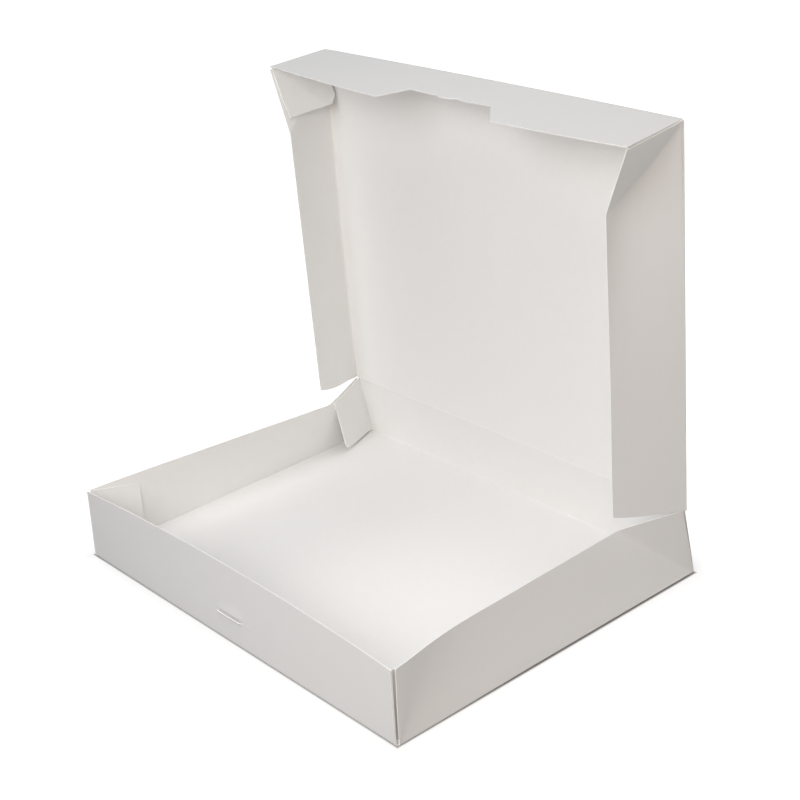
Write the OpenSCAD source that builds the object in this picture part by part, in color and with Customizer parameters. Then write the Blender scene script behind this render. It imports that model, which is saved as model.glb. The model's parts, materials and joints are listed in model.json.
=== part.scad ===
/* [Tray] */
// Outside width of the tray along its bottom, left to right
tray_w = 381; // [250:1:500]
// Outside depth of the tray along its bottom, front to rear
tray_d = 292; // [200:1:400]
// Height of the tray's walls, measured up the board
wall_h = 57; // [45:1:90]
// Thickness of the paperboard
board_t = 0.6; // [0.4:0.05:1]

/* [Lean of the tray walls] */
// Inward lean of the front wall at its ends, in degrees
front_lean = 2.75; // [0:0.25:6]
// Inward bow of the front wall's top edge at mid-width
front_bow = 7; // [0:0.5:12]
// Forward lean of the rear wall, in degrees
rear_lean = 8.75; // [4:0.25:12]
// Inward lean of both side walls at their rear creases, in degrees
side_rear_lean = 22.5; // [8:0.5:28]
// Inward lean of the left wall at its front crease, in degrees
left_front_lean = 5.5; // [2:0.5:20]
// Inward lean of the right wall at its front crease, in degrees
right_front_lean = 12; // [2:0.5:20]

/* [Gussets and glue flaps] */
// Distance of a gusset crease's top end from the corner of its wall
gusset_run = 58; // [50:0.5:70]
// Gap at a corner between the cut end of a side panel and the fold next to it
seam_gap = 3; // [1:0.5:4]
// Length of the tray's glue flaps
glue_flap_l = 46; // [30:1:48]
// Corner radius of the tray's glue flaps
glue_flap_r = 5; // [3:1:12]
// Taper of the tray's glue flaps, in degrees
glue_flap_taper = 9; // [4:1:12]
// Length of the lid's glue flaps
lid_glue_flap_l = 44; // [30:1:48]
// Distance of the lid's glue flaps from the lid panel
lid_glue_flap_inset = 5; // [2:0.5:10]
// Size of the cut corner of the lid's glue flaps
lid_glue_flap_cut = 6; // [2:0.5:10]

/* [Lid] */
// Gap between the lid's glue flaps and the tray's sides when the lid is shut
lid_side_gap = 0.5; // [0.3:0.1:3]
// Room in front of the tray's front wall when the lid is shut
lid_front_gap = 10.5; // [10:0.5:16]
// Height of the lid's free edges above the table when the lid is shut
lid_floor_gap = 0.9; // [0.5:0.1:6]
// Backward lean of the open lid panel, in degrees
lid_back_lean = 0.8; // [0:0.2:20]
// Inward lean of the lid's front flap at its ends, in degrees
lid_front_lean = 4.2; // [0:0.2:5]
// Added inward lean of the lid's front flap at mid-width, in degrees
lid_front_bow = 5; // [0:0.2:5]
// Rise of the curved rear edge of a lid side flap at its free corner
side_flap_rise = 8; // [2:0.5:20]

/* [Hinge crease] */
// Radius of the bead along the hinge crease
crease_r = 0.36; // [0.3:0.01:0.6]
// Clear gap between that bead and the rear wall's top edge
hinge_gap = 0.3; // [0.2:0.05:0.6]
// Width of the scored line across a lid side flap
score_w = 1; // [0.6:0.1:2]
// Depth of the scored line
score_depth = 0.2; // [0.1:0.05:0.3]

/* [Lock] */
// Length of the lock slit in the front wall
slit_l = 32; // [28:1:60]
// Height of the lock slit above the table
slit_z = 20; // [12:0.5:30]
// Width of the lock slit
slit_w = 0.8; // [0.6:0.1:2]
// Width of the lid's notch at the flap's free edge
notch_w = 122; // [100:1:160]
// Width of the lid's notch at its deep edge
notch_inner_w = 90; // [60:1:98]
// Width of the lock tongue at its root
tongue_w = 27; // [20:1:28]
// Width of the lock tongue at its end
tongue_end_w = 20; // [12:1:20]
// Length of the lock tongue
tongue_l = 15; // [8:0.5:18]
// Angle between the folded-back tongue and the flap above it, in degrees
tongue_fold = 26; // [15:1:35]

/* [Hidden] */

glue_sink = 0.1;
bow_steps = 12;
twist_steps = 8;
arc_steps = 6;
$fn = 24;

board_color = "#f2f1ee";

half_w = tray_w / 2;
half_d = tray_d / 2;
strip_half_w = half_w - board_t;

// A corner's seam closes to half its width at the tray's bottom
seam_foot = seam_gap / 2;
// A glue flap's edges stay this far from the folds beside them
flap_clear = 2 * board_t;
// The corner by a glue flap's upper edge is rounded less than the lower one
glue_flap_upper_r = glue_flap_r / 2;
// The tongue's folded edge is a bead a little thicker than the board
tongue_bead_r = 1.1 * board_t;

// The crease line that the lid turns on, at the middle of the board
hinge_y = half_d - wall_h * tan(rear_lean) - board_t / 2;
hinge_z = wall_h + hinge_gap + crease_r;

// The lid reaches past the front wall and hangs outside the tray's sides
lid_d = hinge_y + half_d + lid_front_gap;
lid_half_w = half_w + lid_side_gap + 2 * board_t;
lid_strip_half_w = lid_half_w - board_t;
lid_flap_h = hinge_z + board_t / 2 - lid_floor_gap;

// When the lid is shut, the deep edge of its notch lies level with the slit
notch_d = hinge_z + board_t / 2 - slit_z;

// Points of the tray's right wall: corners of the end walls and tops of the gusset creases
front_foot = [half_w, -half_d, 0];
rear_foot = [half_w, half_d, 0];
front_top = [half_w, -half_d + wall_h * sin(front_lean), wall_h * cos(front_lean)];
rear_top = [half_w, half_d - wall_h * tan(rear_lean), wall_h];

function front_crease_top(lean) =
    [half_w - wall_h * sin(lean), -half_d + gusset_run, wall_h * cos(lean)];
function rear_crease_top() =
    [half_w - wall_h * sin(side_rear_lean), half_d - gusset_run, wall_h * cos(side_rear_lean)];

function unit(v) = v / norm(v);
function between(a, b, share) = a + (b - a) * share;

// One corner of an outline, rounded to radius r
function round_corner(before, corner, after, r) =
    let (
        u = unit(before - corner),
        v = unit(after - corner),
        half = acos(u * v) / 2,
        reach = r / tan(half),
        centre = corner + unit(u + v) * r / sin(half),
        start = corner + u * reach - centre,
        end = corner + v * reach - centre
    )
    [for (k = [0 : arc_steps]) centre + r * unit(between(start, end, k / arc_steps))];

// A sheet of board: a strip of quads between two rows of points, thickened along one direction
module sheet(near_row, far_row, thickness) {
    n = len(near_row);
    points = concat(
        near_row,
        far_row,
        [for (p = near_row) p + thickness],
        [for (p = far_row) p + thickness]
    );
    skin = [for (i = [0 : n - 2]) each [[i, n + i + 1, i + 1], [i, n + i, n + i + 1]]];
    back = [for (f = skin) [f[2], f[1], f[0]] + 2 * n * [1, 1, 1]];
    rim_near = [for (i = [0 : n - 2])
        each [[i, 2 * n + i + 1, 2 * n + i], [i, i + 1, 2 * n + i + 1]]];
    rim_far = [for (i = [0 : n - 2])
        each [[n + i, 3 * n + i + 1, n + i + 1], [n + i, 3 * n + i, 3 * n + i + 1]]];
    ends = [
        [0, 3 * n, n], [0, 2 * n, 3 * n],
        [n - 1, 2 * n - 1, 4 * n - 1], [n - 1, 4 * n - 1, 3 * n - 1]
    ];
    polyhedron(points, concat(skin, back, rim_near, rim_far, ends), convexity = 6);
}

// Puts flat children on the plane through an origin, with its own across and up directions
module on_plane(origin, across, up) {
    out = cross(across, up);
    multmatrix([
        [across.x, up.x, out.x, origin.x],
        [across.y, up.y, out.y, origin.y],
        [across.z, up.z, out.z, origin.z]
    ]) children();
}

module mirrored_copy() {
    children();
    mirror([1, 0, 0]) children();
}

module bottom() {
    translate([-half_w, -half_d, 0]) cube([tray_w, tray_d, board_t]);
}

// The front wall leans and bows inward, and carries the lock slit
module front_wall() {
    xs = [for (i = [0 : bow_steps]) between(-strip_half_w, strip_half_w, i / bow_steps)];
    foot = [for (x = xs) [x, front_foot.y, 0]];
    top = [for (x = xs)
        [x, front_top.y + front_bow * (1 - pow(x / strip_half_w, 2)), front_top.z]];
    difference() {
        sheet(foot, top, [0, board_t, 0]);
        translate([-slit_l / 2, -half_d - front_bow, slit_z - slit_w / 2])
            cube([slit_l, wall_h, slit_w]);
    }
}

module rear_wall() {
    rotate([90, 0, 90])
        linear_extrude(2 * strip_half_w, center = true)
            polygon([
                [rear_foot.y - board_t, 0],
                [rear_foot.y, 0],
                [rear_top.y, rear_top.z],
                [rear_top.y - board_t, rear_top.z]
            ]);
}

// A side wall on the right: a gusset at each end and a twisted panel between their creases
module side_wall(front_crease_lean) {
    front_crease = front_crease_top(front_crease_lean);
    rear_crease = rear_crease_top();
    crease_feet = [front_foot.y + seam_gap, rear_foot.y - seam_gap];
    shares = [for (i = [0 : twist_steps]) i / twist_steps];
    foot = concat(
        [[half_w, front_foot.y + seam_foot, 0]],
        [for (s = shares) [half_w, between(crease_feet[0], crease_feet[1], s), 0]],
        [[half_w, rear_foot.y - seam_foot, 0]]
    );
    top = concat(
        [front_top + seam_gap * unit(front_crease - front_top)],
        [for (s = shares) between(front_crease, rear_crease, s)],
        [rear_top + seam_gap * unit(rear_crease - rear_top)]
    );
    sheet(foot, top, [-board_t, 0, 0]);
}

// Outline of a glue flap, root on the left: tapered below, and above too where asked
function glue_flap_outline(length, height, upper_taper) =
    let (
        root = board_t / 2,
        foot = [root, flap_clear],
        low = [length, foot.y + length * tan(glue_flap_taper)],
        high_x = length - glue_flap_upper_r,
        high = [high_x, height - high_x * tan(upper_taper)],
        head = [root, height]
    )
    concat(
        [foot],
        round_corner(foot, low, high, glue_flap_r),
        upper_taper > 0 ? round_corner(low, high, head, glue_flap_upper_r) : [high],
        [head]
    );

// A glue flap on the right lies on the inside of a gusset, which continues its wall's end fold
module glue_flap(foot, top, crease_top, upper_taper) {
    up = unit(top - foot);
    towards = crease_top - foot;
    across = unit(towards - (towards * up) * up);
    faces_out = cross(across, up).x > 0;
    on_plane(foot - [board_t - glue_sink, 0, 0], across, up)
        translate([0, 0, faces_out ? -board_t : 0])
            linear_extrude(board_t)
                polygon(glue_flap_outline(glue_flap_l, norm(top - foot) - board_t, upper_taper));
}

// A side wall with the two glue flaps that hold it to the end walls
module side(front_crease_lean) {
    side_wall(front_crease_lean);
    glue_flap(front_foot, front_top, front_crease_top(front_crease_lean), glue_flap_taper);
    glue_flap(rear_foot, rear_top, rear_crease_top(), 0);
}

module tray() {
    color(board_color) {
        bottom();
        front_wall();
        rear_wall();
        side(right_front_lean);
        mirror([1, 0, 0]) side(left_front_lean);
    }
}

// The lid is drawn closed side towards -Y, with the hinge crease along X and the panel up Z
module lid_panel() {
    translate([-lid_half_w, -board_t / 2, 0]) cube([2 * lid_half_w, board_t, lid_d]);
    rotate([0, 90, 0]) cylinder(r = crease_r, h = 2 * strip_half_w, center = true);
}

function front_flap_lean(x) =
    lid_front_lean + lid_front_bow * (1 - pow(x / lid_strip_half_w, 2));
// A point on the front flap's outer face, at depth d from the lid panel's outer face
function front_flap_point(x, d) =
    [x, board_t / 2 - d * cos(front_flap_lean(x)), lid_d - d * sin(front_flap_lean(x))];

// The front flap droops and bows inward, with a notch around the lock tongue
module lid_front_flap() {
    xs = [for (i = [0 : bow_steps]) between(-lid_strip_half_w, lid_strip_half_w, i / bow_steps)];
    root = [for (x = xs) front_flap_point(x, 0)];
    free = [for (x = xs) front_flap_point(x, lid_flap_h)];
    deep_y = front_flap_point(0, notch_d).y;
    free_y = front_flap_point(0, lid_flap_h).y;
    difference() {
        sheet(free, root, [0, 0, -board_t]);
        translate([0, 0, lid_d - lid_flap_h / 2])
            linear_extrude(lid_flap_h)
                polygon([
                    [-notch_inner_w / 2, deep_y],
                    [notch_inner_w / 2, deep_y],
                    [notch_w / 2, free_y],
                    [notch_w / 2, free_y - wall_h],
                    [-notch_w / 2, free_y - wall_h],
                    [-notch_w / 2, free_y]
                ]);
    }
}

// The lock tongue is folded back under the front flap, from a bead on the notch's deep edge
module lock_tongue() {
    translate(front_flap_point(0, notch_d) - [0, 0, board_t / 2]) {
        rotate([0, 90, 0]) cylinder(r = tongue_bead_r, h = tongue_w, center = true);
        rotate([front_flap_lean(0) - tongue_fold, 0, 0])
            translate([0, 0, -board_t])
                linear_extrude(board_t)
                    polygon([
                        [-tongue_w / 2, 0],
                        [tongue_w / 2, 0],
                        [tongue_end_w / 2, tongue_l],
                        [-tongue_end_w / 2, tongue_l]
                    ]);
    }
}

// A flat outline in depth from the lid's outer face and height from the hinge, on the right side
module lid_side_board(x) {
    translate([x, board_t / 2, 0])
        rotate([90, 0, -90])
            linear_extrude(board_t)
                children();
}

// The side flap's outline, with its rear edge curved away from the hinge
module lid_side_flap() {
    rear_edge = [for (k = [0 : arc_steps])
        let (share = k / arc_steps)
        [share * lid_flap_h, board_t + side_flap_rise * pow(share, 2)]];
    front_slope = tan(lid_front_lean);
    front_edge = [
        [lid_flap_h, lid_d - seam_gap - lid_flap_h * front_slope],
        [0, lid_d - seam_foot]
    ];
    difference() {
        lid_side_board(lid_half_w) polygon(concat(rear_edge, front_edge));
        lid_gusset_score();
    }
}

// The scored line of a lid gusset, from the lid's front corner to the flap's free edge
module lid_gusset_score() {
    angle = atan2(gusset_run, lid_flap_h);
    cutter_l = 4 * gusset_run;
    translate([lid_half_w - score_depth, board_t / 2, lid_d])
        rotate([angle, 0, 0])
            translate([0, -cutter_l / 2, -score_w / 2])
                cube([board_t, cutter_l, score_w]);
}

// The glue flap at an end of the front flap lies on the inside of the side flap
module lid_glue_flap() {
    slope = tan(lid_front_lean);
    near_d = lid_glue_flap_inset;
    far_d = lid_flap_h - flap_clear;
    end_z = lid_d - lid_glue_flap_l;
    lid_side_board(lid_half_w - board_t + glue_sink)
        polygon([
            [far_d, lid_d - board_t - far_d * slope],
            [near_d, lid_d - board_t],
            [near_d, end_z + lid_glue_flap_cut],
            [near_d + lid_glue_flap_cut, end_z],
            [far_d, end_z - far_d * slope / 2]
        ]);
}

module lid() {
    color(board_color)
        translate([0, hinge_y, hinge_z])
            rotate([-lid_back_lean, 0, 0]) {
                lid_panel();
                lid_front_flap();
                lock_tongue();
                mirrored_copy() {
                    lid_side_flap();
                    lid_glue_flap();
                }
            }
}

tray();
lid();
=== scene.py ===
# %% [markdown]
# # A donut box folded from one sheet of white board
# The real box starts as one flat sheet. It is cut, creased, folded up and glued at its corners,
# and its lid turns on a crease along the rear wall. This lesson gives the plain model the look
# of folded paperboard: rounded folds, walls that lean and twist, and raw cut edges.
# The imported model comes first, because every piece below is made in its frame.

# %% Load the frame
import json
import math

import bmesh
import bpy
from mathutils import Matrix, Vector, noise


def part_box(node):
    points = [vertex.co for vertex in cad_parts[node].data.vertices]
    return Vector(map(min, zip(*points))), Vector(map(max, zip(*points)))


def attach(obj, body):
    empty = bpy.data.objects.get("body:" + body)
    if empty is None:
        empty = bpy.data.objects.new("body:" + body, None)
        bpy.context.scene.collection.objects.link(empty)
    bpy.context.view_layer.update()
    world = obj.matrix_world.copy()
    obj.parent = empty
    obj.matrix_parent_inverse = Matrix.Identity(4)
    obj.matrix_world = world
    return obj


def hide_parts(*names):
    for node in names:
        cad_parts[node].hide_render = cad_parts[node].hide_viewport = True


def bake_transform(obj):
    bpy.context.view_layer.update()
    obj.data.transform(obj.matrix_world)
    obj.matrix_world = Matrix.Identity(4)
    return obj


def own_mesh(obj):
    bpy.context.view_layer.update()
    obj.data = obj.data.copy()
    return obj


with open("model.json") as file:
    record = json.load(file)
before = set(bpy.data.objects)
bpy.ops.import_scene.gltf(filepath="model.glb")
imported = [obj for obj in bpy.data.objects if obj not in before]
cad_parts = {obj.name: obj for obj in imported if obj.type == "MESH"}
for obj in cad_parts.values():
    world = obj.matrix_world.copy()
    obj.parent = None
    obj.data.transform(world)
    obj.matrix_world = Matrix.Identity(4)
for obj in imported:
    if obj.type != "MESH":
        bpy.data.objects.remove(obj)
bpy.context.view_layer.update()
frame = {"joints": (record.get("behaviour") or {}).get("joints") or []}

# %% [markdown]
# ## The camera
# A photograph of a box gives its own camera: the box's straight edges run to three vanishing
# points, and those fix the lens and the viewing angle. The camera could be aimed at a target,
# but a matrix built from yaw, pitch and roll keeps the small roll of a hand-held picture.

# %% Camera at the photograph's viewing angle
YAW, PITCH, ROLL = 0.908899, 0.429997, 0.1001896  # radians
CAMERA_PLACE = (0.93456, -0.69570, 0.67107)  # metres
FILM_WIDTH, LENS = 36, 77.5  # millimetres
FILM_SHIFT = (0.00083, 0.00058)  # shares of the film's width


def add_object(name, data):
    made = bpy.data.objects.new(name, data)
    bpy.context.scene.collection.objects.link(made)
    return made


def place_camera():
    flat = math.cos(PITCH)
    forward = Vector((-math.sin(YAW) * flat, math.cos(YAW) * flat, -math.sin(PITCH)))
    level = Vector((math.cos(YAW), math.sin(YAW), 0))
    down = forward.cross(level)
    right = math.cos(ROLL) * level + math.sin(ROLL) * down
    below = math.cos(ROLL) * down - math.sin(ROLL) * level
    data = bpy.data.cameras.new("camera")
    data.sensor_width, data.lens = FILM_WIDTH, LENS
    data.shift_x, data.shift_y = FILM_SHIFT
    data.clip_start = 0.01
    camera = add_object("camera", data)
    turn = Matrix((right, -below, -forward)).transposed()
    camera.matrix_world = Matrix.Translation(CAMERA_PLACE) @ turn.to_4x4()
    bpy.context.scene.camera = camera
    return camera


camera = place_camera()
print("camera at", [round(v, 3) for v in camera.matrix_world.translation])

# %% [markdown]
# ## Sizes
# All sizes are in millimetres, the unit that a board cutter uses, and a mesh is scaled to
# metres when it is made. A wall is described on the outer face of the board, and the board's
# thickness is added towards the inside.

# %% Sizes of the sheet and its folds
MM = 0.001
BOARD = 0.75
HALF_W, HALF_D, WALL_H = 190.5, 146.0, 57.0
FOLD = 1.0  # how far a rounded fold reaches from its sharp corner
GAP = 3.0  # seam between a corner fold and the cut end of the next wall
FRONT_GAP = 3.9  # the same at the tray's front corners, sprung open a little
GUSSET = 58.0  # how far from the corner a gusset crease meets the wall's top edge
tray_low, tray_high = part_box("tray")
print("tray width", round((tray_high[0] - tray_low[0]) / MM, 1), "expected", 2 * HALF_W)

# %% [markdown]
# ## Helpers for folded sheets
# A folded sheet is easiest to make as a grid of points: one list of points for each column, all
# with the same number of rows. A fold is not a sharp line in board this thick, so a short curve
# takes its place. The curve has two ends and one corner point, and it leaves both ends straight.

# %% Points, steps and rounded folds
FOLD_STEPS = 4  # a rounded fold is cut into this many steps
FOLD_POINTS = FOLD_STEPS + 1


def mix(a, b, share):
    return a + (b - a) * share


def ease(share):
    share = min(1.0, max(0.0, share))
    return share * share * (3 - 2 * share)


def steps(start, end, size):
    count = max(1, round(abs(end - start) / size))
    return [mix(start, end, i / count) for i in range(count + 1)]


def rounded(before, corner, after, count=FOLD_STEPS):
    points = []
    for i in range(count + 1):
        share = i / count
        points.append(mix(mix(before, corner, share), mix(corner, after, share), share))
    return points


def along(stations, x):
    """A value read between stations (place, value), on straight lines from one to the next."""
    if x <= stations[0][0]:
        return stations[0][1]
    for (x0, v0), (x1, v1) in zip(stations, stations[1:]):
        if x <= x1:
            return mix(v0, v1, (x - x0) / (x1 - x0))
    return stations[-1][1]


print("a fold of five points:", [tuple(round(v, 2) for v in p) for p in
                                  rounded(Vector((0, 1)), Vector((0, 0)), Vector((1, 0)))])

# %% [markdown]
# ## The board's finish
# White box board has a smooth coated face outside, a duller uncoated face inside, and raw fibre
# where it was cut. Each gets its own node material. Broad cloudy mottling, fine fibres that lie
# along the sheet and a very low bump keep the white from looking like plain paint. The fold
# attribute, set on the mesh below, lightens the coat where it was bent.

# %% Short ways to add and link nodes
def add_node(tree, kind, **values):
    node = tree.nodes.new(kind)
    for name, value in values.items():
        node.inputs[name.replace("_", " ")].default_value = value
    return node


def add_math(tree, operation, value=None, kind="ShaderNodeMath"):
    node = tree.nodes.new(kind)
    node.operation = operation
    if value is not None:
        node.inputs[1].default_value = value
    return node


def add_range(tree, start, end, low, high):
    return add_node(tree, "ShaderNodeMapRange", From_Min=start, From_Max=end,
                    To_Min=low, To_Max=high)


def link_all(tree, links):
    """A link is a node, its output, the next node and its input."""
    for first, output, second, entry in links:
        tree.links.new(first.outputs[output], second.inputs[entry])


# %% A procedural paperboard material
SHEEN = 0.15  # board reflects little
WORN = 1.06  # how much lighter the coat is where it was bent
ROUGH_SPREAD = 0.06
NOISE_SPAN = (0.3, 0.7)  # most values of a noise lie between these


def tint(color, factor):
    return tuple(min(1.0, c * factor) for c in color) + (1.0,)


def tone_ramp(tree, color, mottle):
    ramp = tree.nodes.new("ShaderNodeValToRGB")
    for end, place, factor in zip(ramp.color_ramp.elements, NOISE_SPAN, (1 - mottle, 1 + mottle)):
        end.position = place
        end.color = tint(color, factor)
    return ramp


def board_finish(name, color, rough, mottle, fibre, relief, coat_wear):
    material = bpy.data.materials.new(name)
    material.use_nodes = True
    tree = material.node_tree
    shader = tree.nodes["Principled BSDF"]
    shader.inputs["Specular IOR Level"].default_value = SHEEN
    place = tree.nodes.new("ShaderNodeTexCoord")
    clouds = add_node(tree, "ShaderNodeTexNoise", Scale=160.0, Detail=4.0, Roughness=0.55)
    grain = add_node(tree, "ShaderNodeMapping", Scale=(350, 2200, 2200), Rotation=(0.2, 0.35, 0.3))
    fibres = add_node(tree, "ShaderNodeTexNoise", Scale=1.0, Detail=3.0, Roughness=0.6)
    cloud_color = tone_ramp(tree, color, mottle)
    fibre_tone = add_range(tree, *NOISE_SPAN, 1 - fibre, 1 + fibre)
    fibred = add_math(tree, "SCALE", kind="ShaderNodeVectorMath")
    bent = tree.nodes.new("ShaderNodeAttribute")
    bent.attribute_name = "fold"
    worn = add_math(tree, "MULTIPLY", coat_wear)
    surface = tree.nodes.new("ShaderNodeMix")
    surface.data_type = "RGBA"
    surface.inputs["B"].default_value = tint(color, WORN)
    gloss = add_range(tree, 0.0, 1.0, rough - ROUGH_SPREAD, rough + ROUGH_SPREAD)
    bump = add_node(tree, "ShaderNodeBump", Strength=relief, Distance=0.0002)
    link_all(tree, (
        (place, "Object", clouds, "Vector"),
        (place, "Object", grain, "Vector"),
        (grain, "Vector", fibres, "Vector"),
        (clouds, "Fac", cloud_color, "Fac"),
        (fibres, "Fac", fibre_tone, "Value"),
        (cloud_color, "Color", fibred, 0),
        (fibre_tone, "Result", fibred, "Scale"),
        (bent, "Fac", worn, 0),
        (worn, "Value", surface, "Factor"),
        (fibred, "Vector", surface, "A"),
        (surface, "Result", shader, "Base Color"),
        (clouds, "Fac", gloss, "Value"),
        (gloss, "Result", shader, "Roughness"),
        (fibres, "Fac", bump, "Height"),
        (bump, "Normal", shader, "Normal"),
    ))
    return material


OUTSIDE = board_finish("coated_board", (0.765, 0.762, 0.758), rough=0.52, mottle=0.004,
                       fibre=0.006, relief=0.10, coat_wear=0.5)
INSIDE = board_finish("uncoated_board", (0.88, 0.877, 0.869), rough=0.72, mottle=0.006,
                      fibre=0.010, relief=0.18, coat_wear=0.3)
CUT_EDGE = board_finish("cut_board_edge", (0.96, 0.955, 0.94), rough=0.85, mottle=0.02,
                        fibre=0.04, relief=0.30, coat_wear=0.0)
BOARD_FINISHES = (OUTSIDE, INSIDE, CUT_EDGE)
print("finishes", [m.name for m in BOARD_FINISHES])

# %% [markdown]
# ## From grids to board
# One function turns several grids into one piece of board. It merges the points that two grids
# share, turns all faces outwards, and lets a Solidify modifier add the thickness, because that
# gives the inner face and the cut edge their own materials without any further work. The result
# is made a plain mesh at once, so that later steps meet finished geometry.

# %% Turn sheets into a piece of board
MERGE = 0.004  # closer points of two sheets become one
SHARP = math.radians(32)  # sharper turns keep a crisp edge


def add_sheet(bm, columns, outward, fold_layer, folds=()):
    """Adds one grid; folds holds the row numbers that lie on a bent strip."""
    made = [[bm.verts.new(point * MM) for point in column] for column in columns]
    for column in made:
        for row in folds:
            column[row][fold_layer] = 1.0
    faces = []
    for left, right in zip(made, made[1:]):
        for row in range(len(left) - 1):
            faces.append(bm.faces.new((left[row], right[row], right[row + 1], left[row + 1])))
    for face in faces:
        face.normal_update()
    if sum(face.normal.dot(outward) * face.calc_area() for face in faces) < 0:
        bmesh.ops.reverse_faces(bm, faces=faces)


def finish_mesh(piece, sharp=SHARP):
    """Applies the modifiers and sets smooth shading, with sharp cut edges."""
    graph = bpy.context.evaluated_depsgraph_get()
    mesh = bpy.data.meshes.new_from_object(piece.evaluated_get(graph))
    piece.modifiers.clear()
    piece.data = mesh
    mesh.name = piece.name
    mesh.polygons.foreach_set("use_smooth", [True] * len(mesh.polygons))
    mesh.set_sharp_from_angle(angle=sharp)
    return piece


def board_piece(name, sheets):
    """sheets holds (columns, outward direction, rows on a fold)."""
    bm = bmesh.new()
    fold_layer = bm.verts.layers.float.new("fold")
    for columns, outward, folds in sheets:
        add_sheet(bm, columns, Vector(outward), fold_layer, folds)
    bmesh.ops.remove_doubles(bm, verts=bm.verts, dist=MERGE * MM)
    mesh = bpy.data.meshes.new(name)
    bm.to_mesh(mesh)
    bm.free()
    piece = add_object(name, mesh)
    for finish in BOARD_FINISHES:
        mesh.materials.append(finish)
    shell = piece.modifiers.new("thickness", "SOLIDIFY")
    shell.thickness = BOARD * MM
    shell.offset = -1
    shell.use_even_offset = True
    shell.material_offset = 1
    shell.material_offset_rim = 2
    finish_mesh(piece)
    print(name, "has", len(piece.data.polygons), "faces")
    return piece


# %% [markdown]
# ## The tray's bottom
# The bottom panel lies on the table, but its edges don't quite: a folded edge pulls the board up
# by about a millimetre, which is why a box has a thin dark line of shadow under its walls. A flat
# grid with a little lift along its edges gives that line.

# %% Bottom panel with lifted edges
LIFT_RUN = 40.0  # how far from an edge the rise starts
RIGHT_LIFT = (0.1, 1.1)  # at the front, and from mid-depth to the rear
LEFT_LIFT, REAR_LIFT = 0.2, 0.5


def lift(x, y):
    toward_rear = ease((y + HALF_D) / HALF_D)
    right = mix(*RIGHT_LIFT, toward_rear) * ease((x - HALF_W + LIFT_RUN) / LIFT_RUN)
    left = LEFT_LIFT * ease((-x - HALF_W + LIFT_RUN) / LIFT_RUN)
    rear = REAR_LIFT * ease((y - HALF_D + LIFT_RUN) / LIFT_RUN)
    return max(right, left, rear)


def on_bottom(x, y):
    return Vector((x, y, lift(x, y)))


END_W = HALF_W - BOARD  # the end walls stop short of the side walls
SLIT_HALF = 16.0
SLIT_END = SLIT_HALF - 0.4  # the lips part within this last bit
WALL_XS = sorted(steps(FOLD - END_W, -30, 9) + steps(-28, 28, 2) + [-SLIT_END, SLIT_END] +
                 steps(30, END_W - FOLD, 9))  # close together around the slit
print("rear right corner lifts by", round(lift(HALF_W, HALF_D), 2))

# %% [markdown]
# ## Walls that fold up from the bottom
# Each wall is a column of points that starts on the bottom panel, turns up through the rounded
# fold and runs to the top edge. Real walls are never quite flat, so a slow noise moves them by a
# few tenths of a millimetre, and fades out at folds and corners, where the board is held.

# %% One column of a wall
WALL_WAVER, WALL_FREE = 0.35, 3  # it wavers freely from a third of its height on
WAVER_SCALE = 0.016  # waves about 60 mm long
WAVER_PLACE = Vector((3.1, 7.7, 1.9))  # which part of the noise is read


def waver(point, amount=WALL_WAVER):
    return amount * noise.noise(point * WAVER_SCALE + WAVER_PLACE)


def wall_column(foot, top, inner, outward, heights, loose):
    """From the bottom panel at inner, round the fold at foot, and up to top."""
    up = (top - foot).normalized()
    length = (top - foot).length
    column = rounded(inner, foot, foot + up * FOLD)
    for height in heights:
        share = height / WALL_H
        point = foot + up * (length * share)
        column.append(point + outward * waver(point) * ease(share * WALL_FREE) * loose)
    return column


FOLD_ROWS = range(1, FOLD_STEPS)
print("columns across the front wall:", len(WALL_XS))

# %% [markdown]
# ## The front wall and its lock slit
# The front wall leans in and bows, most at mid-width. It carries a short slit that takes the
# lid's tongue. A tongue that was pulled out again leaves the lower lip standing out and the upper
# one tucked in behind it, with a low bump above, so the slit shows as a dark line over a ledge.
# The wall is made as two sheets that share the row at the slit's height: where the lips part, the
# points differ and stay apart, and elsewhere they merge.

# %% Front wall in two sheets around the slit
FRONT_LEAN = math.radians(2.75)
FRONT_BOW = 7.0
HELD_RUN = 30  # the corner holds the wall flat over this distance
SLIT_H = 19.0
# Each lip: a height on the wall, and how far the board stands out there.
LOW_LIP = [(SLIT_H - 9, 0.0), (SLIT_H - 2.2, 0.3), (SLIT_H, 1.7)]
HIGH_LIP = [(SLIT_H, -0.4), (SLIT_H + 1.8, 0.4), (SLIT_H + 3.2, 0.5), (SLIT_H + 7, 0.0)]
LIP_TUCK = 1.5  # how far the upper lip reaches down behind the lower one
LIP_POWER = 12  # how suddenly the lips part at the slit's ends
BUMP_X, BUMP_UP, BUMP_HALF_W, BUMP_HALF_H, BUMP_OUT = 5, 5, 9, 5, 0.45
STREAK_FROM, STREAK_TO, STREAK_OUT = 18, 27, 0.25
LOW_HEIGHTS = [2.5, 5, 8] + steps(SLIT_H - 9, SLIT_H - 3, 2) + steps(SLIT_H - 2.2, SLIT_H, 0.7)
HIGH_HEIGHTS = steps(SLIT_H, SLIT_H + 1.8, 0.6) + [21.5, 22.2, 23, 24.3, 26, 28, 30.5, 33.5, 37,
                                                   41, 46, 51.5, WALL_H]
FRONT = Vector((0, -1, 0))


def front_top(x):
    bow = FRONT_BOW * (1 - (x / END_W) ** 2)
    y = -HALF_D + WALL_H * math.sin(FRONT_LEAN) + bow
    return Vector((x, y, WALL_H * math.cos(FRONT_LEAN)))


def in_slit(x):
    """1 along the slit, fading to 0 at its ends."""
    return 1 - min(1.0, abs(x) / SLIT_HALF) ** LIP_POWER


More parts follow.
